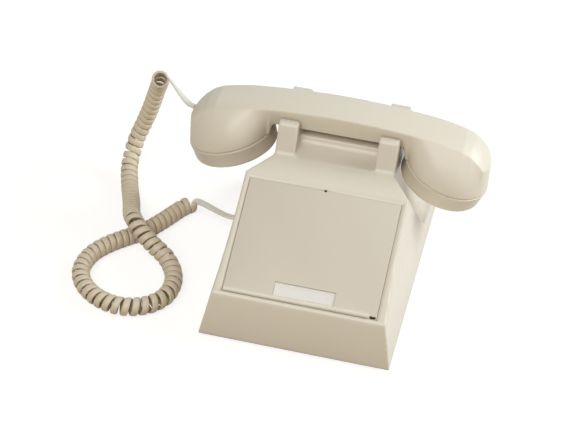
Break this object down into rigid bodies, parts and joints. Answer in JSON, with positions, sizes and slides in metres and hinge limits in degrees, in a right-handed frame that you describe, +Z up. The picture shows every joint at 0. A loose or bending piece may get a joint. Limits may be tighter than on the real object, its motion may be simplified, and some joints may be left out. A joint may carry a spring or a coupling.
{
  "type": "corded desk telephone",
  "caption": "Sloping desk telephone with a blank faceplate, an arched handset across a four-eared cradle, and a curly handset cord looped at its left.",
  "frame": {"origin": "on the desk, under the middle of the handset from left to right and of the base from front to back", "axes": "+X to the right seen from the front, along the handset; +Y to the rear; +Z up"},
  "size_m": [0.3015, 0.205, 0.1269],
  "materials": {
    "shell_plastic": "satin moulded ash beige",
    "plate_plastic": "fine satin, slightly warmer",
    "card": "blank white card",
    "clear_plastic": "clear moulded",
    "steel": "zinc plated",
    "brass": "bright",
    "dark_plastic": "matt black",
    "foot_rubber": "matt",
    "ivory_plastic": "satin",
    "cord_jacket": "soft sheen vinyl"
  },
  "bodies": {
    "base": {"housing": "shell_plastic", "faceplate": "plate_plastic", "designation_card": "card", "card_window": "clear_plastic", "base_plate": "steel", "foot_front_left": "foot_rubber", "foot_front_right": "foot_rubber", "foot_rear_left": "foot_rubber", "foot_rear_right": "foot_rubber", "housing_screw_front_left": "steel", "housing_screw_front_right": "steel", "housing_screw_rear_left": "steel", "housing_screw_rear_right": "steel", "base_jack": "dark_plastic", "line_jack": "dark_plastic", "hookswitch_pin": "steel", "hookswitch_bracket": "steel", "hookswitch_contacts": "dark_plastic", "ringer_frame": "steel", "ringer_coil": "dark_plastic", "gong_low": "brass", "gong_high": "brass", "gong_screw_low": "steel", "gong_screw_high": "steel", "network_block": "dark_plastic", "base_plug": "clear_plastic", "handset_cord": "cord_jacket"},
    "handset": {"handset_shell": "shell_plastic", "transmitter_cap": "shell_plastic", "receiver_cap": "shell_plastic", "transmitter_unit": "steel", "receiver_unit": "steel", "transmitter_holder": "dark_plastic", "handset_jack": "dark_plastic", "handset_plug": "clear_plastic"},
    "left_plunger": {"plunger_left": "ivory_plastic"},
    "right_plunger": {"plunger_right": "ivory_plastic"},
    "switch_lever": {"hookswitch_lever": "steel"},
    "clapper_arm": {"clapper": "steel"},
    "volume_knob": {"volume_wheel": "dark_plastic"}
  },
  "joints": [
    {"name": "handset_lift", "type": "slide", "parent": "base", "child": "handset", "axis": [0, 0, 1], "range_m": [0, 0.09]},
    {"name": "plunger_left_rise", "type": "slide", "parent": "base", "child": "left_plunger", "axis": [0, 0, 1], "range_m": [0, 0.005]},
    {"name": "plunger_right_rise", "type": "slide", "parent": "base", "child": "right_plunger", "axis": [0, 0, 1], "range_m": [0, 0.005]},
    {"name": "lever_swing", "type": "hinge", "parent": "base", "child": "switch_lever", "pos_m": [0.0023, 0.072, 0.072], "axis": [-1, 0, 0], "range_deg": [0, 9.5]},
    {"name": "clapper_swing", "type": "hinge", "parent": "base", "child": "clapper_arm", "pos_m": [0.0035, 0.058, 0.032], "axis": [0, 0, 1], "range_deg": [-6, 6], "stiffness_Nm_per_rad": 0.002},
    {"name": "volume_turn", "type": "hinge", "parent": "base", "child": "volume_knob", "pos_m": [0.0423, -0.048, 0.0035], "axis": [0, 0, 1], "range_deg": [0, 90]}
  ],
  "couplings": [
    {"joint": "plunger_left_rise", "follows": "handset_lift", "ratio": 0.0555},
    {"joint": "plunger_right_rise", "follows": "handset_lift", "ratio": 0.0555},
    {"joint": "lever_swing", "follows": "handset_lift", "rad_per_m": 1.84}
  ]
}
